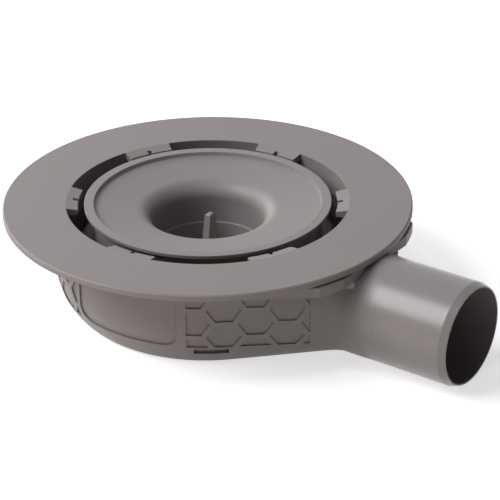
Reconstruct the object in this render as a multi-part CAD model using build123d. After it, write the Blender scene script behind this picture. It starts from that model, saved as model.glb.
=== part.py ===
"""Floor drain of low build height, for a shower or bathroom floor.

An upper moulding with the sealing flange and the socket for the upper section is welded on a
lower moulding: a basin with a honeycomb relief on its wall and a spigot outlet on its side.
A two-piece trap insert stands in the middle, a funnel with a dip tube over a cup with a fin to
grip. All sizes are millimetres. Z points up from the underside of the basin, the drain's axis
is Z, and the outlet points along +X.
"""
import os
from math import acos, atan2, cos, degrees, hypot, pi, radians, sin, sqrt, tan

from build123d import *

# Overall sizes
BUILD_HEIGHT = 54.0         # underside of the basin to the top of the flange
FLANGE_DIAMETER = 200.0
FLANGE_THICKNESS = 3.0
FLANGE_EDGE_ROUND = 0.6

# Socket that takes the upper section
OPENING_DIAMETER = 138.6
SOCKET_WALL = 2.5
SOCKET_DEPTH = 21.0         # top of the flange down to the shelf
SHELF_THICKNESS = 2.5

# Bayonet tabs round the opening
TAB_COUNT = 6
TAB_FIRST_ANGLE = 33.8      # degrees from the outlet to the middle of the first tab
TAB_WIDTH = 24.8            # along the edge of the opening
TAB_REACH = 5.8             # inwards from the edge of the opening
TAB_DROP = 1.3              # fall of the tab's top from the opening to its nose
TAB_UNDERSIDE_DROP = 3.9    # top of the flange down to the underside of the tabs
NOTCH_WIDTH = 2.2
NOTCH_DEPTH = 2.6

# Seat of the trap insert
SEAT_BORE_DIAMETER = 107.0
SEAT_WALL = 2.5

# Trap funnel
RIM_DIAMETER = 120.8
RIM_THICKNESS = 3.6
RIM_LIP_THICKNESS = 1.6
RIM_BELOW_FLANGE = 0.5
RIM_WIDTH = 4.6
DISH_STEP = 1.8             # rim down to the edge of the dish
DISH_STEP_LEAN = 0.4
THROAT_DIAMETER = 55.0
THROAT_LIP_RADIUS = 8.2     # roll from the dish into the throat
DISH_SLOPE = 7.6            # degrees
FUNNEL_WALL = 2.0
LEDGE_HEIGHT = 28.0         # narrow ledge inside the throat, above the underside
LEDGE_WIDTH = 0.9
DIP_TUBE_END = 11.0         # above the underside
SKIRT_WALL = 3.0
SKIRT_CLEARANCE = 1.5       # between the skirt and the bore of its seat
SKIRT_LENGTH = 15.0

# Seal ring on the funnel's skirt
SEAL_HEIGHT = 4.0
SEAL_GROOVE_DEPTH = 1.2
SEAL_GROOVE_BELOW_RIM = 5.0
SEAL_LIP_COUNT = 3
SEAL_LIP_CLEARANCE = 0.05   # between the lips and the bore of the seat

# Trap cup
CUP_DIAMETER = 92.0
CUP_WALL = 1.8
CUP_FLOOR = 2.0
CUP_HEIGHT = 33.0
CUP_CORNER_RADIUS = 4.0
LOCATING_RING_HEIGHT = 3.0
LOCATING_RING_WALL = 1.6
LOCATING_CLEARANCE = 0.4

# Grip fin that stands in the middle of the cup, across the outlet
FIN_TOP = 45.5              # above the underside
FIN_BASE_THICKNESS = 5.8
FIN_TOP_THICKNESS = 3.2
FIN_BASE_LENGTH = 20.0
FIN_TOP_LENGTH = 3.6
FIN_BASE_SHIFT = 3.4        # middle of the fin's foot, away from the drain's axis
FIN_TOP_SHIFT = 1.4
FIN_EDGE_ROUND = 1.2

# Lip seal in the socket, for the upper section
LIP_SEAL_WIDTH = 3.6
LIP_SEAL_HEIGHT = 8.0
LIP_REACH = 3.0
LIP_THICKNESS = 1.2

# Basin
BASIN_DIAMETER = 151.0
BASIN_WALL = 2.5
BASIN_FLOOR = 2.5
BOWL_RADIUS = 30.0          # roll of the wall towards the underside
BOWL_START = 23.0           # height at which the wall starts to roll in
BASE_ROUND = 2.5

# Neck and outlet spigot
OUTLET_DIAMETER = 50.0
OUTLET_WALL = 1.8
OUTLET_END_X = 150.0        # mouth of the spigot, from the drain's axis
OUTLET_CHAMFER_LENGTH = 3.6
OUTLET_CHAMFER_DEPTH = 1.2
OUTLET_ABOVE_UNDERSIDE = 0.3
OUTLET_START_X = 104.0      # the spigot has its full size from here on
ROOT_STEP = 0.2             # thicker root of the spigot, beyond its radius
ROOT_TAPER = 3.0
NECK_END_X = 98.0           # end of the neck under its plate
NECK_LEAN = 6.0             # degrees that the neck's end leans in towards the underside
NECK_BLEND = 16.0           # hollow radius from the basin's straight walls to the spigot
NECK_TOP_HALF_WIDTH = 19.0  # upright walls between the spigot and the neck's plate
NECK_FOOT_HALF_WIDTH = 4.0  # least half width, at the underside
NECK_SINK = 0.3             # the blends end this far inside the spigot's root
NECK_BITE = 0.25            # the neck's sides start this far inside the round wall
NECK_SECTIONS = 12
NECK_PLATE_RADIUS = 101.0
NECK_PLATE_START_X = 30.0
NECK_PLATE_END_X = 97.4
NECK_PLATE_HALF_WIDTH = 60.0
NECK_PLATE_OVERHANG = 13.5  # beyond the basin's straight walls
NECK_PLATE_THICKNESS = 4.9
NECK_PLATE_GAP = 0.7        # slot between the plate and the flange

# Relief in the basin's wall. Angles are degrees clockwise from the outlet, seen from above.
RELIEF_DEPTH = 0.8
RELIEF_BOTTOM = 12.0
RELIEF_TOP = 37.4
CELL_WIDTH = 16.5           # corner to corner
CELL_FLAT = 8.3             # top and bottom edge
CELL_HEIGHT = 12.2
CELL_RIB = 2.3              # between neighbouring cells
COLUMN_PITCH = 14.8
COLUMN_BEFORE_PANEL = 59.4
CUT_BEFORE_PANEL = 61.6     # cells beside the panel end upright here
PANEL_FROM = 65.0
PANEL_TO = 108.0
CUT_AFTER_PANEL = 110.0
COLUMN_AFTER_PANEL = 107.9
PANEL_LOWER_CORNER = 8.0
PANEL_UPPER_CORNER = 3.0
RELIEF_FROM_NECK = 10.5     # relief stops this far from the corner of the neck
LOW_NOTCH_ANGLE = 52.7      # low notches, either side of the outlet
LOW_NOTCH_WIDTH = 16.5
LOW_NOTCH_BOTTOM = 7.6
LOW_NOTCH_HEIGHT = 3.4
LOW_NOTCH_DEPTH = 1.5

# Heights and radii that follow from the sizes above
FLANGE_RADIUS = FLANGE_DIAMETER / 2
FLANGE_UNDERSIDE = BUILD_HEIGHT - FLANGE_THICKNESS
OPENING_RADIUS = OPENING_DIAMETER / 2
SOCKET_OUTER_RADIUS = OPENING_RADIUS + SOCKET_WALL
SHELF_TOP = BUILD_HEIGHT - SOCKET_DEPTH
SHELF_UNDERSIDE = SHELF_TOP - SHELF_THICKNESS
SEAT_BORE_RADIUS = SEAT_BORE_DIAMETER / 2
SEAT_OUTER_RADIUS = SEAT_BORE_RADIUS + SEAT_WALL
RIM_TOP = BUILD_HEIGHT - RIM_BELOW_FLANGE
RIM_UNDERSIDE = RIM_TOP - RIM_THICKNESS
RIM_RADIUS = RIM_DIAMETER / 2
THROAT_RADIUS = THROAT_DIAMETER / 2
SKIRT_RADIUS = SEAT_BORE_RADIUS - SKIRT_CLEARANCE
SKIRT_END = RIM_UNDERSIDE - SKIRT_LENGTH
SEAL_TOP = RIM_UNDERSIDE - SEAL_GROOVE_BELOW_RIM
CUP_RADIUS = CUP_DIAMETER / 2
BASIN_RADIUS = BASIN_DIAMETER / 2
OUTLET_RADIUS = OUTLET_DIAMETER / 2
OUTLET_HEIGHT = OUTLET_RADIUS + OUTLET_ABOVE_UNDERSIDE
ROOT_RADIUS = OUTLET_RADIUS + ROOT_STEP
PLATE_TOP = FLANGE_UNDERSIDE - NECK_PLATE_GAP
PLATE_UNDERSIDE = PLATE_TOP - NECK_PLATE_THICKNESS
ROW_PITCH = CELL_HEIGHT + CELL_RIB


def turned(outline, arc=360.0):
    """Solid turned about the drain's axis from closed (radius, height) corners."""
    return revolve(Plane.XZ * make_face(Polyline(*outline, close=True)), Axis.Z, arc)


def ring(inner, outer, bottom, top):
    """Plain ring on the drain's axis."""
    return turned([(inner, bottom), (outer, bottom), (outer, top), (inner, top)])


# Upper moulding


def bayonet_tab():
    """One tab at angle zero: it falls towards its nose, with a notch in the middle."""
    nose = OPENING_RADIUS - TAB_REACH
    root = OPENING_RADIUS + SOCKET_WALL / 2
    underside = BUILD_HEIGHT - TAB_UNDERSIDE_DROP
    spread = degrees(TAB_WIDTH / OPENING_RADIUS)
    outline = [
        (nose, underside),
        (root, underside),
        (root, BUILD_HEIGHT),
        (OPENING_RADIUS, BUILD_HEIGHT),
        (nose, BUILD_HEIGHT - TAB_DROP),
    ]
    tab = Rot(0, 0, -spread / 2) * turned(outline, spread)
    notch = Box(2 * NOTCH_DEPTH, NOTCH_WIDTH, 4 * TAB_UNDERSIDE_DROP)
    return tab - Pos(nose, 0, BUILD_HEIGHT) * notch


def flange_socket():
    """Flange, socket wall, shelf and seat of the trap insert, with the ring of tabs."""
    edge = FLANGE_EDGE_ROUND
    outline = [
        (FLANGE_RADIUS - edge, BUILD_HEIGHT),
        (OPENING_RADIUS, BUILD_HEIGHT),
        (OPENING_RADIUS, SHELF_TOP),
        (SEAT_OUTER_RADIUS, SHELF_TOP),
        (SEAT_OUTER_RADIUS, RIM_UNDERSIDE),
        (SEAT_BORE_RADIUS, RIM_UNDERSIDE),
        (SEAT_BORE_RADIUS, SHELF_UNDERSIDE),
        (SOCKET_OUTER_RADIUS, SHELF_UNDERSIDE),
        (SOCKET_OUTER_RADIUS, FLANGE_UNDERSIDE),
        (FLANGE_RADIUS, FLANGE_UNDERSIDE),
        (FLANGE_RADIUS, BUILD_HEIGHT - edge),
    ]
    moulding = turned(outline)
    for index in range(TAB_COUNT):
        angle = TAB_FIRST_ANGLE + index * 360 / TAB_COUNT
        moulding += Rot(0, 0, angle) * bayonet_tab()
    return moulding


# Basin and outlet


def wall_radius(height, growth=0.0):
    """Radius of the basin's round wall: upright above BOWL_START, rolled in below it."""
    below = max(0.0, BOWL_START - height)
    return BASIN_RADIUS - BOWL_RADIUS + sqrt((BOWL_RADIUS + growth) ** 2 - below ** 2)


def neck_half_width(height, growth):
    """Half the neck's width at its end: the spigot's, with upright walls above its shoulders."""
    rise = height - OUTLET_HEIGHT
    round_part = sqrt(max(0.0, (ROOT_RADIUS - NECK_SINK + growth) ** 2 - rise ** 2))
    least = NECK_TOP_HALF_WIDTH if rise > 0 else NECK_FOOT_HALF_WIDTH
    return max(round_part, least + growth)


def neck_end(height):
    """Where the neck ends at a height: its end leans in towards the underside."""
    return NECK_END_X - (PLATE_UNDERSIDE - height) * tan(radians(NECK_LEAN))


def touch_angle(radius, end_x, half_width):
    """Angle of the point where the straight wall to the neck's corner leaves the round wall."""
    return atan2(half_width, end_x) + acos(radius / hypot(end_x, half_width))


def bowl_form(bottom, top, growth):
    """Round part of the basin, solid, its outer face moved out by the growth."""
    middle = (bottom + BOWL_START) / 2
    side = wall_radius(BOWL_START, growth)
    foot = (wall_radius(bottom, growth), bottom)
    outline = Curve() + [
        Polyline(foot, (0, bottom), (0, top), (side, top), (side, BOWL_START)),
        ThreePointArc((side, BOWL_START), (wall_radius(middle, growth), middle), foot),
    ]
    return revolve(Plane.XZ * make_face(outline), Axis.Z)


def neck_corner(height, radius, half_width):
    """Corner where the straight wall would meet the neck's end, and the angle of that wall."""
    end_x = neck_end(height)
    corner_x = end_x
    for _ in range(3):
        slope = pi / 2 - touch_angle(radius, corner_x, half_width)
        corner_x = end_x - NECK_BLEND * tan(slope / 2)
    return corner_x, slope


def neck_section(height, growth):
    """Outline of the neck at a height, with a hollow blend at each side of its end."""
    half_width = neck_half_width(height, growth)
    radius = wall_radius(height, growth) - NECK_BITE
    corner_x, slope = neck_corner(height, radius, half_width)
    reach = NECK_BLEND * tan(slope / 2)
    bulge = NECK_BLEND * (1 / cos(slope / 2) - 1)
    left = [
        (radius * sin(slope), radius * cos(slope)),
        (corner_x - reach * cos(slope), half_width + reach * sin(slope)),
        (corner_x + bulge * sin(slope / 2), half_width + bulge * cos(slope / 2)),
        (corner_x + reach, half_width),
    ]
    right = [(x, -y) for x, y in left]
    outline = Curve() + [
        Polyline(right[1], right[0], left[0], left[1]),
        ThreePointArc(left[1], left[2], left[3]),
        Line(left[3], right[3]),
        ThreePointArc(right[3], right[2], right[1]),
    ]
    return Pos(0, 0, height) * make_face(outline)


def neck_form(bottom, top, growth):
    """Wedge from the bowl to the spigot, solid: upright ends above and below its round part."""
    radius = ROOT_RADIUS - NECK_SINK + growth
    foot = OUTLET_HEIGHT - sqrt(radius ** 2 - (NECK_FOOT_HALF_WIDTH + growth) ** 2)
    shoulder = OUTLET_HEIGHT + sqrt(radius ** 2 - (NECK_TOP_HALF_WIDTH + growth) ** 2)
    low = max(bottom, foot)
    first = acos((OUTLET_HEIGHT - low) / radius)
    last = acos((OUTLET_HEIGHT - shoulder) / radius)
    sections = []
    for index in range(NECK_SECTIONS):
        turn = first + (last - first) * index / (NECK_SECTIONS - 1)
        sections.append(neck_section(OUTLET_HEIGHT - radius * cos(turn), growth))
    form = loft(sections)
    form += loft([sections[-1], neck_section(top, growth)], ruled=True)
    if low > bottom:
        form += loft([neck_section(bottom, growth), sections[0]], ruled=True)
    return form


def relief_slope():
    """Corner and angle of the straight wall at the height of the relief's middle."""
    middle = (RELIEF_BOTTOM + RELIEF_TOP) / 2
    return neck_corner(middle, BASIN_RADIUS, neck_half_width(middle, 0))


def relief_straight_length():
    """Length of the straight wall that carries relief, from the round wall on."""
    corner_x, slope = relief_slope()
    return (corner_x - BASIN_RADIUS * sin(slope)) / cos(slope) - RELIEF_FROM_NECK


def wall_distance(angle):
    """Distance on the wall of an angle on its round part, from where the straight wall starts."""
    corner_x, slope = relief_slope()
    return (radians(angle) - (pi / 2 - slope)) * BASIN_RADIUS


def wall_plane(distance):
    """Upright plane on the wall, its normal outwards and its x towards smaller distances.

    The distance runs clockwise round the basin, seen from above, from the point where the
    straight wall on the -Y side leaves the round wall. It is negative on that straight wall.
    """
    start = -wall_distance(0)
    round_length = 2 * pi * BASIN_RADIUS - 2 * start
    turned_by = (start + min(max(0.0, distance), round_length)) / BASIN_RADIUS
    along = min(0.0, distance) + max(0.0, distance - round_length)
    normal = Vector(cos(turned_by), -sin(turned_by), 0)
    tangent = Vector(sin(turned_by), cos(turned_by), 0)
    return Plane(normal * BASIN_RADIUS - tangent * along, x_dir=tangent, z_dir=normal)


def relief_strip(from_x, to_x):
    """Upright strip between the relief's bottom and top."""
    height = RELIEF_TOP - RELIEF_BOTTOM
    middle = Pos((from_x + to_x) / 2, RELIEF_BOTTOM + height / 2)
    return middle * Rectangle(to_x - from_x, height)


def cell(height):
    """Six-sided cell of the honeycomb, its middle at the height."""
    corners = [
        (CELL_WIDTH / 2, 0),
        (CELL_FLAT / 2, CELL_HEIGHT / 2),
        (-CELL_FLAT / 2, CELL_HEIGHT / 2),
        (-CELL_WIDTH / 2, 0),
        (-CELL_FLAT / 2, -CELL_HEIGHT / 2),
        (CELL_FLAT / 2, -CELL_HEIGHT / 2),
    ]
    return Pos(0, height) * make_face(Polyline(*corners, close=True))


def honeycomb_columns():
    """Distance of each column with the distances that it is cut off at, and whether it is low."""
    straight = relief_straight_length()
    round_length = 2 * pi * BASIN_RADIUS + 2 * wall_distance(0)
    runs = [
        (COLUMN_BEFORE_PANEL, -COLUMN_PITCH, -straight, wall_distance(CUT_BEFORE_PANEL)),
        (
            COLUMN_AFTER_PANEL,
            COLUMN_PITCH,
            wall_distance(CUT_AFTER_PANEL),
            round_length + straight,
        ),
    ]
    columns = []
    for angle, step, first, last in runs:
        distance = wall_distance(angle)
        low = True
        while first < distance + CELL_WIDTH / 2 and distance - CELL_WIDTH / 2 < last:
            columns.append((distance, first, last, low))
            distance += step
            low = not low
    return columns


def column_of_cells(distance, first, last, low):
    """Cells of one column, cut off at the relief's edges and between the two distances."""
    half = CELL_WIDTH / 2
    strip = relief_strip(max(-half, distance - last), min(half, distance - first))
    height = RELIEF_BOTTOM + CELL_HEIGHT / 2
    if low:
        height -= ROW_PITCH / 2
    cells = []
    while height - CELL_HEIGHT / 2 < RELIEF_TOP:
        cells.append(cell(height) & strip)
        height += ROW_PITCH
    return cells


def panel_face():
    """Outline of the blank panel, its corners rounded."""
    half = radians(PANEL_TO - PANEL_FROM) / 2
    face = relief_strip(-BASIN_RADIUS * sin(half), BASIN_RADIUS * sin(half))
    corners = face.vertices().sort_by(Axis.Y)
    face = fillet(corners[:2], PANEL_LOWER_CORNER)
    corners = face.vertices().sort_by(Axis.Y)
    return fillet(corners[-2:], PANEL_UPPER_CORNER)


def relief_prisms():
    """Prisms through the wall, one for each cell and one for the panel."""
    reach = BOWL_RADIUS / 2
    prisms = []
    for distance, first, last, low in honeycomb_columns():
        for face in column_of_cells(distance, first, last, low):
            prisms.append(extrude(wall_plane(distance) * face, reach, both=True))
    middle = wall_distance((PANEL_FROM + PANEL_TO) / 2)
    prisms.append(extrude(wall_plane(middle) * panel_face(), reach, both=True))
    return prisms


def wall_relief():
    """What the honeycomb and the blank panel take from the wall."""
    kept = bowl_form(0, PLATE_UNDERSIDE, -RELIEF_DEPTH)
    kept += neck_form(0, PLATE_UNDERSIDE, -RELIEF_DEPTH)
    return (Part() + relief_prisms()) - kept


def low_notches():
    """What the notches low on the wall take from it, one each side of the outlet."""
    middle = LOW_NOTCH_BOTTOM + LOW_NOTCH_HEIGHT / 2
    block = Box(BOWL_RADIUS, LOW_NOTCH_WIDTH, LOW_NOTCH_HEIGHT)
    block = Pos(BASIN_RADIUS, 0, middle) * block
    notches = Rot(0, 0, LOW_NOTCH_ANGLE) * block
    notches += Rot(0, 0, -LOW_NOTCH_ANGLE) * block
    return notches - bowl_form(0, PLATE_UNDERSIDE, -LOW_NOTCH_DEPTH)


def spigot():
    """Outside of the outlet spigot, with its thicker root and the chamfer at its mouth."""
    start = BASIN_RADIUS - BASIN_WALL / 2
    corners = [
        (start, 0),
        (OUTLET_END_X, 0),
        (OUTLET_END_X, OUTLET_RADIUS - OUTLET_CHAMFER_DEPTH),
        (OUTLET_END_X - OUTLET_CHAMFER_LENGTH, OUTLET_RADIUS),
        (OUTLET_START_X, OUTLET_RADIUS),
        (OUTLET_START_X - ROOT_TAPER, ROOT_RADIUS),
        (start, ROOT_RADIUS),
    ]
    outside = revolve(make_face(Polyline(*corners, close=True)), Axis.X)
    return Pos(0, 0, OUTLET_HEIGHT) * outside


def along_outlet(radius, start, end):
    """Cylinder on the outlet's axis."""
    return Pos(start, 0, OUTLET_HEIGHT) * extrude(Plane.YZ * Circle(radius), end - start)


def neck_plate():
    """Plate under the flange on top of the neck, its sides beside the basin's straight walls."""
    length = NECK_PLATE_END_X - NECK_PLATE_START_X
    strip = Rectangle(length, 2 * NECK_PLATE_HALF_WIDTH)
    plan = Circle(NECK_PLATE_RADIUS) & Pos(NECK_PLATE_START_X + length / 2, 0) * strip
    slope = relief_slope()[1]
    beside = NECK_PLATE_OVERHANG + BASIN_RADIUS - NECK_PLATE_RADIUS
    inside = Rectangle(2 * NECK_PLATE_RADIUS, 4 * NECK_PLATE_RADIUS)
    for angle in (90 - degrees(slope), degrees(slope) - 90):
        plan = plan & Rot(0, 0, angle) * Pos(beside, 0) * inside
    return Pos(0, 0, PLATE_UNDERSIDE) * extrude(plan, NECK_PLATE_THICKNESS)


def neck_end_wall():
    """Block at the neck's end that keeps its end wall, above and beside the spigot's bore."""
    block = Box(OUTLET_END_X, 2 * NECK_PLATE_HALF_WIDTH, 2 * BUILD_HEIGHT)
    return Pos(NECK_PLATE_END_X - BASIN_WALL + OUTLET_END_X / 2, 0, 0) * block


def basin():
    """Basin, neck, plate and spigot as one moulding."""
    bowl = bowl_form(0, FLANGE_UNDERSIDE, 0)
    body = fillet(bowl.edges().group_by(Axis.Z)[0], BASE_ROUND)
    body += neck_form(0, PLATE_UNDERSIDE, 0)
    body -= wall_relief()
    body -= low_notches()
    body += neck_plate()
    body += spigot()
    roof = PLATE_TOP - BASIN_WALL
    hollow = bowl_form(BASIN_FLOOR, FLANGE_UNDERSIDE, -BASIN_WALL)
    hollow += neck_form(BASIN_FLOOR, roof, -BASIN_WALL) - neck_end_wall()
    bore_start = BASIN_RADIUS - 2 * BASIN_WALL
    hollow += along_outlet(OUTLET_RADIUS - OUTLET_WALL, bore_start, OUTLET_END_X)
    body -= hollow
    ring_radius = CUP_RADIUS + LOCATING_CLEARANCE
    body += ring(
        ring_radius,
        ring_radius + LOCATING_RING_WALL,
        BASIN_FLOOR,
        BASIN_FLOOR + LOCATING_RING_HEIGHT,
    )
    return body


# Trap insert


def trap_funnel():
    """Rim, dish, throat, dip tube and skirt as one moulding."""
    slope = radians(DISH_SLOPE)
    lip = THROAT_LIP_RADIUS
    dish_edge = RIM_RADIUS - RIM_WIDTH - DISH_STEP_LEAN
    dish_top = RIM_TOP - DISH_STEP
    centre_x = THROAT_RADIUS + lip
    roll_start_x = centre_x - lip * sin(slope)
    centre_z = dish_top - (dish_edge - roll_start_x) * tan(slope) - lip * cos(slope)
    under = lip - FUNNEL_WALL

    def on_roll(radius, turn):
        return (centre_x - radius * sin(turn), centre_z + radius * cos(turn))

    middle = (slope + pi / 2) / 2
    skirt_inner = SKIRT_RADIUS - SKIRT_WALL
    under_start = on_roll(under, slope)
    under_height = under_start[1] + (skirt_inner - under_start[0]) * tan(slope)
    tube_inner = THROAT_RADIUS - LEDGE_WIDTH
    tube_outer = THROAT_RADIUS + FUNNEL_WALL
    groove = SKIRT_RADIUS - SEAL_GROOVE_DEPTH
    outline = Curve() + [
        Polyline(
            (THROAT_RADIUS, centre_z),
            (THROAT_RADIUS, LEDGE_HEIGHT),
            (tube_inner, LEDGE_HEIGHT),
            (tube_inner, DIP_TUBE_END),
            (tube_outer, DIP_TUBE_END),
            (tube_outer, centre_z),
        ),
        ThreePointArc(on_roll(under, pi / 2), on_roll(under, middle), under_start),
        Polyline(
            under_start,
            (skirt_inner, under_height),
            (skirt_inner, SKIRT_END),
            (SKIRT_RADIUS, SKIRT_END),
            (SKIRT_RADIUS, SEAL_TOP - SEAL_HEIGHT),
            (groove, SEAL_TOP - SEAL_HEIGHT),
            (groove, SEAL_TOP),
            (SKIRT_RADIUS, SEAL_TOP),
            (SKIRT_RADIUS, RIM_UNDERSIDE),
            (SEAT_OUTER_RADIUS, RIM_UNDERSIDE),
            (RIM_RADIUS, RIM_TOP - RIM_LIP_THICKNESS),
            (RIM_RADIUS, RIM_TOP),
            (RIM_RADIUS - RIM_WIDTH, RIM_TOP),
            (dish_edge, dish_top),
            on_roll(lip, slope),
        ),
        ThreePointArc(on_roll(lip, slope), on_roll(lip, middle), (THROAT_RADIUS, centre_z)),
    ]
    return revolve(Plane.XZ * make_face(outline), Axis.Z)


def trap_cup():
    """Cup that holds the water of the trap, with the fin to grip in its middle."""
    bottom = BASIN_FLOOR
    wall = turned(
        [
            (0, bottom),
            (CUP_RADIUS - CUP_CORNER_RADIUS, bottom),
            (CUP_RADIUS, bottom + CUP_CORNER_RADIUS),
            (CUP_RADIUS, bottom + CUP_HEIGHT),
            (CUP_RADIUS - CUP_WALL, bottom + CUP_HEIGHT),
            (CUP_RADIUS - CUP_WALL, bottom + CUP_CORNER_RADIUS),
            (CUP_RADIUS - CUP_CORNER_RADIUS, bottom + CUP_FLOOR),
            (0, bottom + CUP_FLOOR),
        ]
    )
    foot = Pos(0, FIN_BASE_SHIFT, bottom + CUP_FLOOR / 2) * Rectangle(
        FIN_BASE_THICKNESS, FIN_BASE_LENGTH
    )
    top = Pos(0, FIN_TOP_SHIFT, FIN_TOP) * Rectangle(FIN_TOP_THICKNESS, FIN_TOP_LENGTH)
    fin = loft([foot, top], ruled=True)
    fin = fillet(fin.faces().sort_by(Axis.Z)[-1].edges(), FIN_EDGE_ROUND)
    return wall + fin


def trap_seal():
    """Rubber ring in the groove of the skirt, with lips that meet the bore of the seat."""
    groove = SKIRT_RADIUS - SEAL_GROOVE_DEPTH
    lip = SEAT_BORE_RADIUS - SEAL_LIP_CLEARANCE
    step = SEAL_HEIGHT / SEAL_LIP_COUNT
    outline = [(groove, SEAL_TOP - SEAL_HEIGHT)]
    for index in range(SEAL_LIP_COUNT):
        low = SEAL_TOP - SEAL_HEIGHT + index * step
        outline.append((SKIRT_RADIUS, low))
        outline.append((lip, low + 0.7 * step))
    outline.append((SKIRT_RADIUS, SEAL_TOP))
    outline.append((groove, SEAL_TOP))
    return turned(outline)


def socket_seal():
    """Rubber ring on the shelf, with a lip that leans in and down to meet the upper section."""
    outer = OPENING_RADIUS
    inner = outer - LIP_SEAL_WIDTH
    top = SHELF_TOP + LIP_SEAL_HEIGHT
    outline = [
        (inner, SHELF_TOP),
        (outer, SHELF_TOP),
        (outer, top),
        (inner, top),
        (inner - LIP_REACH, top - LIP_REACH - LIP_THICKNESS),
        (inner - LIP_REACH, top - LIP_REACH - 2 * LIP_THICKNESS),
        (inner, top - 2 * LIP_THICKNESS),
    ]
    return turned(outline)


PIECES = {
    "flange_socket": flange_socket,
    "basin": basin,
    "trap_funnel": trap_funnel,
    "trap_cup": trap_cup,
    "trap_seal": trap_seal,
    "socket_seal": socket_seal,
}

os.makedirs("parts", exist_ok=True)
for name, build in PIECES.items():
    export_step(build(), f"parts/{name}.step")
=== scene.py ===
"""Looks of a low floor drain: moulded ABS and rubber finishes, studio and camera.

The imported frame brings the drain's own solids. Lengths in the property groups are metres, as
Blender has them, and names that end in MM are real millimetres.
"""

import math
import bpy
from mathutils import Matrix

bl_info = {
    "name": "Floor Drain",
    "version": (1, 0, 0),
    "blender": (4, 5, 0),
    "location": "View3D > Sidebar > Floor Drain",
    "description": "Finishes a floor drain of moulded ABS, with its trap insert and seals",
    "category": "Object",
}

import bpy
from mathutils import Matrix, Vector

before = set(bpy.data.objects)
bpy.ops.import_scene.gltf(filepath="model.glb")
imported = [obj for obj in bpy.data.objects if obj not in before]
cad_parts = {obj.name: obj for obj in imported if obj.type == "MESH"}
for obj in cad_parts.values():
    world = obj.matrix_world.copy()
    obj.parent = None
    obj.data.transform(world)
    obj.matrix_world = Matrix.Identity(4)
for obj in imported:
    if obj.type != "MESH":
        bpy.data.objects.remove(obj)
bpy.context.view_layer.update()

MM = 0.001

# Camera that took the photograph, solved from its ellipses. Angles are degrees.
CAMERA_PLACE_MM = (557.7, -738.8, 501.8)
CAMERA_AZIMUTH = 35.785
CAMERA_ELEVATION = 27.236
CAMERA_ROLL = -0.487
CAMERA_LENS_MM = 151.36
CAMERA_SENSOR_MM = 36.0

# Surface of the mouldings. The real eroded grain is finer than a pixel, so it is drawn coarser.
ABS_IOR = 1.53
GRAIN_DEPTH_MM = 0.1
GRAIN_STRENGTH = 0.12
BODY_ROUGHNESS = 0.55
INSERT_ROUGHNESS = 0.5
ROUGHNESS_SPREAD = 0.05
FLOW_NOISE_LOW = 0.3
FLOW_NOISE_HIGH = 0.7
FLOW_DETAIL = 2.0
FLOW_SWIRL = 0.6
GRAIN_DETAIL = 2.0
GRAIN_HARSHNESS = 0.7

# Rolled edges, with a painted highlight along them. The mask rises between two cosines of the
# angle from the flat to the rolled normal; where it is 1, the colour is painted lighter by the
# last factor.
EDGE_SAMPLES = 8
EDGE_MASK_FROM = 0.995
EDGE_MASK_TO = 0.85
EDGE_PAINTED_HIGHLIGHT = 1.08

# The outside of the spigot is moulded in a polished part of the cavity
SPIGOT_FROM_MM = 102.0
SPIGOT_BLEND_MM = 9.0
SPIGOT_ROUGHNESS = 0.27
SPIGOT_GRAIN_STRENGTH = 0.03

# Rubber of the seals
RUBBER_IOR = 1.5
RUBBER_ROUGHNESS = 0.65
RUBBER_BLOOM_MM = 9.0
RUBBER_BLOOM_DETAIL = 4.0
RUBBER_DARKER = 0.8
RUBBER_LIGHTER = 1.5
RUBBER_GRAIN_STRENGTH = 0.2

# Studio. Azimuths are degrees on from the camera's own, elevations are above the floor.
FLOOR_SIZE_MM = 9000.0
LAMP_DISTANCE_MM = 3000.0
KEY_AZIMUTH = -80.0
KEY_ELEVATION = 46.0
KEY_SIZE_MM = 1800.0
SIDE_AZIMUTH = -140.0
SIDE_ELEVATION = 20.0
SIDE_SIZE_MM = 1800.0
GLINT_AZIMUTH = -30.0
GLINT_ELEVATION = 72.0
GLINT_SIZE_MM = 500.0

WHITE = (1, 1, 1, 1)

# Places of the colour sockets in Blender's mixing node, which names them like its other sockets
MIX_FACTOR = 0
MIX_FIRST = 6
MIX_SECOND = 7
MIX_RESULT = 2


def linear(hex_colour):
    """Linear red, green and blue of an sRGB colour written as six hex digits."""
    channels = [int(hex_colour[place : place + 2], 16) / 255 for place in (1, 3, 5)]
    return tuple(
        value / 12.92 if value <= 0.04045 else ((value + 0.055) / 1.055) ** 2.4
        for value in channels
    )


def add_node(material, kind, values=None, links=None, **settings):
    """Adds a node to a material or world, sets and links its inputs, and returns the node."""
    node = material.node_tree.nodes.new(kind)
    for name, value in settings.items():
        setattr(node, name, value)
    for name, value in (values or {}).items():
        node.inputs[name].default_value = value
    for name, socket in (links or {}).items():
        material.node_tree.links.new(socket, node.inputs[name])
    return node


def new_material(name):
    """Empty node material with that name."""
    material = bpy.data.materials.new(name)
    material.use_nodes = True
    material.node_tree.nodes.clear()
    return material


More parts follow.
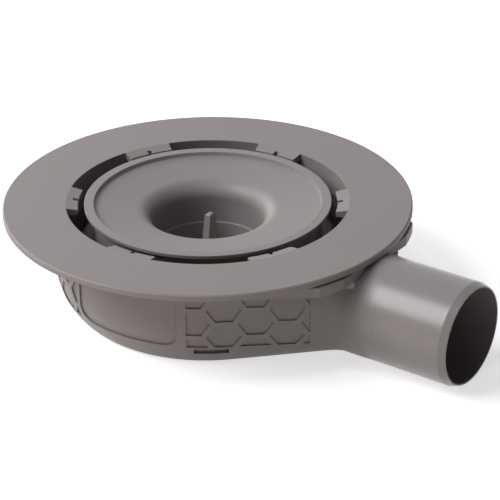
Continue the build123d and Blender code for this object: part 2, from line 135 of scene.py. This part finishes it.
class DrainLooks(bpy.types.PropertyGroup):
    """Colours and surface of the drain."""

    body_colour: bpy.props.FloatVectorProperty(
        name="Body",
        description="Colour of the moulded ABS",
        subtype="COLOR",
        size=3,
        min=0,
        max=1,
        default=linear("#948c8c"),
    )
    rubber_colour: bpy.props.FloatVectorProperty(
        name="Rubber",
        description="Colour of the seals",
        subtype="COLOR",
        size=3,
        min=0,
        max=1,
        default=linear("#191817"),
    )
    grain: bpy.props.FloatProperty(
        name="Grain",
        description="Distance between the grains of the mould's eroded texture",
        subtype="DISTANCE",
        unit="LENGTH",
        default=0.6 * MM,
        min=0.1 * MM,
        max=3 * MM,
    )
    flow_mark: bpy.props.FloatProperty(
        name="Flow marks",
        description="Size of the faint clouds that the melt leaves in the colour",
        subtype="DISTANCE",
        unit="LENGTH",
        default=26 * MM,
        min=2 * MM,
        max=200 * MM,
    )
    flow_tone: bpy.props.FloatProperty(
        name="Flow contrast",
        description="How much lighter and darker the clouds are than the colour",
        subtype="FACTOR",
        default=0.05,
        min=0,
        max=0.5,
    )
    edge_round: bpy.props.FloatProperty(
        name="Edge roll",
        description="Radius that the light sees on the mouldings' sharp edges",
        subtype="DISTANCE",
        unit="LENGTH",
        default=0.35 * MM,
        min=0.05 * MM,
        max=2 * MM,
    )


class DrainStudio(bpy.types.PropertyGroup):
    """Light and floor of the studio."""

    floor_colour: bpy.props.FloatVectorProperty(
        name="Floor",
        description="Colour of the floor as it lights the drain",
        subtype="COLOR",
        size=3,
        min=0,
        max=1,
        default=linear("#e6e1dd"),
    )
    key_power: bpy.props.FloatProperty(
        name="Key lamp",
        description="Power of the large lamp on the camera's left",
        unit="POWER",
        default=67.0,
        min=0,
    )
    side_power: bpy.props.FloatProperty(
        name="Side lamp",
        description="Power of the low lamp behind the drain, on the camera's left",
        unit="POWER",
        default=38.0,
        min=0,
    )
    glint_power: bpy.props.FloatProperty(
        name="Glint lamp",
        description="Power of the small lamp that shows as the gloss on the spigot",
        unit="POWER",
        default=6.0,
        min=0,
    )
    fill_strength: bpy.props.FloatProperty(
        name="Surroundings",
        description="Strength of the even light from all around",
        default=0.02,
        min=0,
    )
    table_light: bpy.props.FloatProperty(
        name="Table light",
        description="Strength of the light that the floor gives of itself, as a light table does",
        default=0.1,
        min=0,
        max=1,
    )
    floor_glow: bpy.props.FloatProperty(
        name="Floor glow",
        description="What the floor adds to its lit white, for the camera and for reflections",
        default=0.62,
        min=0,
        max=1,
    )


def shade(colour, factor):
    """The colour made lighter or darker by a factor, with an alpha of 1."""
    return (*(min(1.0, channel * factor) for channel in colour), 1)


def soft_edges(material, looks):
    """Normal of a surface whose sharp edges are rolled, and a mask that is 1 on those edges, where
    a highlight is painted.
    """
    rolled = add_node(
        material,
        "ShaderNodeBevel",
        samples=EDGE_SAMPLES,
        values={"Radius": looks.edge_round},
    )
    flat = add_node(material, "ShaderNodeNewGeometry")
    agree = add_node(
        material,
        "ShaderNodeVectorMath",
        operation="DOT_PRODUCT",
        links={0: rolled.outputs["Normal"], 1: flat.outputs["Normal"]},
    )
    mask = add_node(
        material,
        "ShaderNodeMapRange",
        values={"From Min": EDGE_MASK_FROM, "From Max": EDGE_MASK_TO},
        links={"Value": agree.outputs["Value"]},
    )
    return rolled.outputs["Normal"], mask.outputs["Result"]


def moulded_abs(looks, name, roughness, spigot_from_mm=None):
    """ABS, moulded in an eroded tool: matt, with a fine grain, faint flow marks and soft edges
    with a painted highlight.

    Where a spigot starts, the surface turns glossy and smooth, as its cavity is polished.
    """
    material = new_material(name)
    place = add_node(material, "ShaderNodeTexCoord").outputs["Object"]
    normal, edge_highlight_mask = soft_edges(material, looks)
    flow = add_node(
        material,
        "ShaderNodeTexNoise",
        values={
            "Scale": 1 / looks.flow_mark,
            "Detail": FLOW_DETAIL,
            "Distortion": FLOW_SWIRL,
        },
        links={"Vector": place},
    )
    grain = add_node(
        material,
        "ShaderNodeTexNoise",
        values={
            "Scale": 1 / looks.grain,
            "Detail": GRAIN_DETAIL,
            "Roughness": GRAIN_HARSHNESS,
        },
        links={"Vector": place},
    )
    toned = add_node(
        material,
        "ShaderNodeMix",
        data_type="RGBA",
        values={
            MIX_FIRST: shade(looks.body_colour, 1 - looks.flow_tone),
            MIX_SECOND: shade(looks.body_colour, 1 + looks.flow_tone),
        },
        links={MIX_FACTOR: flow.outputs["Fac"]},
    )
    # Painted highlight: the colour is made lighter on the sharp edges, where rolled edges would
    # catch the light.
    edge_highlighted = add_node(
        material,
        "ShaderNodeMix",
        data_type="RGBA",
        values={MIX_SECOND: shade(looks.body_colour, EDGE_PAINTED_HIGHLIGHT)},
        links={MIX_FACTOR: edge_highlight_mask, MIX_FIRST: toned.outputs[MIX_RESULT]},
    )
    gloss = add_node(
        material,
        "ShaderNodeMapRange",
        values={
            "From Min": FLOW_NOISE_LOW,
            "From Max": FLOW_NOISE_HIGH,
            "To Min": roughness - ROUGHNESS_SPREAD,
            "To Max": roughness + ROUGHNESS_SPREAD,
        },
        links={"Value": flow.outputs["Fac"]},
    ).outputs["Result"]
    bump = add_node(
        material,
        "ShaderNodeBump",
        values={"Strength": GRAIN_STRENGTH, "Distance": GRAIN_DEPTH_MM * MM},
        links={"Height": grain.outputs["Fac"], "Normal": normal},
    )
    if spigot_from_mm is not None:
        along = add_node(material, "ShaderNodeSeparateXYZ", links={"Vector": place})
        smooth = add_node(
            material,
            "ShaderNodeMapRange",
            interpolation_type="SMOOTHSTEP",
            values={
                "From Min": spigot_from_mm * MM,
                "From Max": (spigot_from_mm + SPIGOT_BLEND_MM) * MM,
            },
            links={"Value": along.outputs["X"]},
        ).outputs["Result"]
        polished = add_node(
            material,
            "ShaderNodeMix",
            data_type="FLOAT",
            values={"B": SPIGOT_ROUGHNESS},
            links={"Factor": smooth, "A": gloss},
        )
        gloss = polished.outputs["Result"]
        finer = add_node(
            material,
            "ShaderNodeMapRange",
            values={"To Min": GRAIN_STRENGTH, "To Max": SPIGOT_GRAIN_STRENGTH},
            links={"Value": smooth},
        )
        material.node_tree.links.new(finer.outputs["Result"], bump.inputs["Strength"])
    surface = add_node(
        material,
        "ShaderNodeBsdfPrincipled",
        values={"IOR": ABS_IOR},
        links={
            "Base Color": edge_highlighted.outputs[MIX_RESULT],
            "Roughness": gloss,
            "Normal": bump.outputs["Normal"],
        },
    )
    add_node(
        material, "ShaderNodeOutputMaterial", links={"Surface": surface.outputs["BSDF"]}
    )
    return material


def moulded_rubber(looks, name):
    """EPDM rubber, moulded: nearly black and matt, with a bloom of grey dust in patches."""
    material = new_material(name)
    place = add_node(material, "ShaderNodeTexCoord").outputs["Object"]
    patches = add_node(
        material,
        "ShaderNodeTexNoise",
        values={"Scale": 1 / (RUBBER_BLOOM_MM * MM), "Detail": RUBBER_BLOOM_DETAIL},
        links={"Vector": place},
    )
    toned = add_node(
        material,
        "ShaderNodeMix",
        data_type="RGBA",
        values={
            MIX_FIRST: shade(looks.rubber_colour, RUBBER_DARKER),
            MIX_SECOND: shade(looks.rubber_colour, RUBBER_LIGHTER),
        },
        links={MIX_FACTOR: patches.outputs["Fac"]},
    )
    grain = add_node(
        material,
        "ShaderNodeTexNoise",
        values={"Scale": 1 / looks.grain, "Detail": GRAIN_DETAIL},
        links={"Vector": place},
    )
    bump = add_node(
        material,
        "ShaderNodeBump",
        values={"Strength": RUBBER_GRAIN_STRENGTH, "Distance": GRAIN_DEPTH_MM * MM},
        links={"Height": grain.outputs["Fac"]},
    )
    surface = add_node(
        material,
        "ShaderNodeBsdfPrincipled",
        values={"Roughness": RUBBER_ROUGHNESS, "IOR": RUBBER_IOR},
        links={"Base Color": toned.outputs[MIX_RESULT], "Normal": bump.outputs["Normal"]},
    )
    add_node(
        material, "ShaderNodeOutputMaterial", links={"Surface": surface.outputs["BSDF"]}
    )
    return material


def finish_node(name, material):
    """Gives a solid of the frame its material."""
    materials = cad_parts[name].data.materials
    materials.clear()
    materials.append(material)


class DRAIN_OT_body(bpy.types.Operator):
    """Finishes the two mouldings of the drain's body"""

    bl_idname = "drain.body"
    bl_label = "Body"

    def execute(self, context):
        looks = context.scene.drain_looks
        material = moulded_abs(looks, "ABS, injection moulded, matt", BODY_ROUGHNESS)
        finish_node("flange_socket", material)
        material = moulded_abs(
            looks,
            "ABS, injection moulded, matt with a polished spigot",
            BODY_ROUGHNESS,
            SPIGOT_FROM_MM,
        )
        finish_node("basin", material)
        return {"FINISHED"}


class DRAIN_OT_trap(bpy.types.Operator):
    """Finishes the funnel and the cup of the trap insert"""

    bl_idname = "drain.trap"
    bl_label = "Trap insert"

    def execute(self, context):
        looks = context.scene.drain_looks
        material = moulded_abs(looks, "ABS, injection moulded, satin", INSERT_ROUGHNESS)
        finish_node("trap_funnel", material)
        finish_node("trap_cup", material)
        return {"FINISHED"}


class DRAIN_OT_seals(bpy.types.Operator):
    """Finishes the two rubber seals"""

    bl_idname = "drain.seals"
    bl_label = "Seals"

    def execute(self, context):
        looks = context.scene.drain_looks
        material = moulded_rubber(looks, "EPDM rubber, moulded")
        finish_node("trap_seal", material)
        finish_node("socket_seal", material)
        return {"FINISHED"}


def add_camera():
    """The photograph's camera."""
    data = bpy.data.cameras.new("camera")
    data.sensor_width = CAMERA_SENSOR_MM
    data.lens = CAMERA_LENS_MM
    camera = bpy.data.objects.new("camera", data)
    turn = Matrix.Rotation(math.radians(CAMERA_AZIMUTH), 4, "Z")
    tilt = Matrix.Rotation(math.radians(90 - CAMERA_ELEVATION), 4, "X")
    roll = Matrix.Rotation(math.radians(CAMERA_ROLL), 4, "Z")
    camera.matrix_world = Matrix.Translation(Vector(CAMERA_PLACE_MM) * MM) @ turn @ tilt @ roll
    bpy.context.scene.collection.objects.link(camera)
    bpy.context.scene.camera = camera


def add_lamp(name, size_mm, power, azimuth, elevation):
    """Square area lamp that looks at the drain, at angles taken from the camera's azimuth."""
    data = bpy.data.lights.new(name, "AREA")
    data.size = size_mm * MM
    data.energy = power
    lamp = bpy.data.objects.new(name, data)
    turn = math.radians(CAMERA_AZIMUTH + azimuth)
    lift = math.radians(elevation)
    level = math.cos(lift)
    away = Vector((math.sin(turn) * level, -math.cos(turn) * level, math.sin(lift)))
    lamp.location = away * LAMP_DISTANCE_MM * MM
    lamp.rotation_euler = (-away).to_track_quat("-Z", "Y").to_euler()
    bpy.context.scene.collection.objects.link(lamp)


def seen_directly(material):
    """1 where the camera, a reflection or a view through glass sees the surface, else 0."""
    path = add_node(material, "ShaderNodeLightPath")
    reflected = add_node(
        material,
        "ShaderNodeMath",
        operation="MAXIMUM",
        links={0: path.outputs["Is Camera Ray"], 1: path.outputs["Is Glossy Ray"]},
    )
    seen = add_node(
        material,
        "ShaderNodeMath",
        operation="MAXIMUM",
        links={0: reflected.outputs["Value"], 1: path.outputs["Is Transmission Ray"]},
    )
    return seen.outputs["Value"]


def surroundings(studio):
    """World that is white to look at and lights the drain with its own strength."""
    world = bpy.data.worlds.new("surroundings")
    world.use_nodes = True
    world.node_tree.nodes.clear()
    strength = add_node(
        world,
        "ShaderNodeMapRange",
        values={"To Min": studio.fill_strength, "To Max": 1.0},
        links={"Value": seen_directly(world)},
    )
    light = add_node(
        world,
        "ShaderNodeBackground",
        values={"Color": WHITE},
        links={"Strength": strength.outputs["Result"]},
    )
    add_node(world, "ShaderNodeOutputWorld", links={"Surface": light.outputs["Background"]})
    return world


def floor_finish(studio):
    """Matt paint on the studio's floor: white to look at with the drain's shadow left on it."""
    material = new_material("Paint, matt, on the studio floor")
    seen = seen_directly(material)
    paint = add_node(
        material,
        "ShaderNodeMix",
        data_type="RGBA",
        values={MIX_FIRST: (*studio.floor_colour, 1), MIX_SECOND: WHITE},
        links={MIX_FACTOR: seen},
    )
    lit = add_node(
        material, "ShaderNodeBsdfDiffuse", links={"Color": paint.outputs[MIX_RESULT]}
    )
    strength = add_node(
        material,
        "ShaderNodeMapRange",
        values={"To Min": studio.table_light, "To Max": studio.floor_glow},
        links={"Value": seen},
    )
    glow = add_node(
        material, "ShaderNodeEmission", links={"Strength": strength.outputs["Result"]}
    )
    both = add_node(
        material,
        "ShaderNodeAddShader",
        links={0: lit.outputs["BSDF"], 1: glow.outputs["Emission"]},
    )
    add_node(material, "ShaderNodeOutputMaterial", links={"Surface": both.outputs["Shader"]})
    return material


def add_floor(studio):
    """Square floor under the drain."""
    mesh = bpy.data.meshes.new("floor")
    half = FLOOR_SIZE_MM * MM / 2
    corners = [(-half, -half, 0), (half, -half, 0), (half, half, 0), (-half, half, 0)]
    mesh.from_pydata(corners, [], [(0, 1, 2, 3)])
    mesh.materials.append(floor_finish(studio))
    floor = bpy.data.objects.new("floor", mesh)
    bpy.context.scene.collection.objects.link(floor)
    return floor


class DRAIN_OT_stage(bpy.types.Operator):
    """Lays the floor and sets the lamps, the surroundings and the camera"""

    bl_idname = "drain.stage"
    bl_label = "Studio"

    def execute(self, context):
        studio = context.scene.drain_studio
        context.scene.view_settings.view_transform = "Standard"
        context.scene.world = surroundings(studio)
        add_floor(studio)
        add_lamp("key", KEY_SIZE_MM, studio.key_power, KEY_AZIMUTH, KEY_ELEVATION)
        add_lamp("side", SIDE_SIZE_MM, studio.side_power, SIDE_AZIMUTH, SIDE_ELEVATION)
        add_lamp("glint", GLINT_SIZE_MM, studio.glint_power, GLINT_AZIMUTH, GLINT_ELEVATION)
        add_camera()
        return {"FINISHED"}


class DRAIN_PT_panel(bpy.types.Panel):
    """Sidebar panel with the drain's pieces and the studio"""

    bl_idname = "DRAIN_PT_panel"
    bl_label = "Floor Drain"
    bl_space_type = "VIEW_3D"
    bl_region_type = "UI"
    bl_category = "Floor Drain"

    def draw(self, context):
        for group in (context.scene.drain_looks, context.scene.drain_studio):
            column = self.layout.column()
            for name in group.bl_rna.properties.keys():
                if name not in ("rna_type", "name"):
                    column.prop(group, name)
        for operator in OPERATORS:
            self.layout.operator(operator.bl_idname)


GROUPS = {"drain_looks": DrainLooks, "drain_studio": DrainStudio}
OPERATORS = (DRAIN_OT_body, DRAIN_OT_trap, DRAIN_OT_seals, DRAIN_OT_stage)


def register():
    """Registers the classes and hangs the property groups on the scene."""
    for name, group in GROUPS.items():
        bpy.utils.register_class(group)
        setattr(bpy.types.Scene, name, bpy.props.PointerProperty(type=group))
    for kind in (*OPERATORS, DRAIN_PT_panel):
        bpy.utils.register_class(kind)


def unregister():
    """Takes the classes and the property groups away again."""
    for kind in reversed((*OPERATORS, DRAIN_PT_panel)):
        bpy.utils.unregister_class(kind)
    for name, group in reversed(GROUPS.items()):
        delattr(bpy.types.Scene, name)
        bpy.utils.unregister_class(group)


def main():
    """Makes everything in order."""
    register()
    bpy.ops.drain.body()
    bpy.ops.drain.trap()
    bpy.ops.drain.seals()
    bpy.ops.drain.stage()


if __name__ == "__main__":
    main()
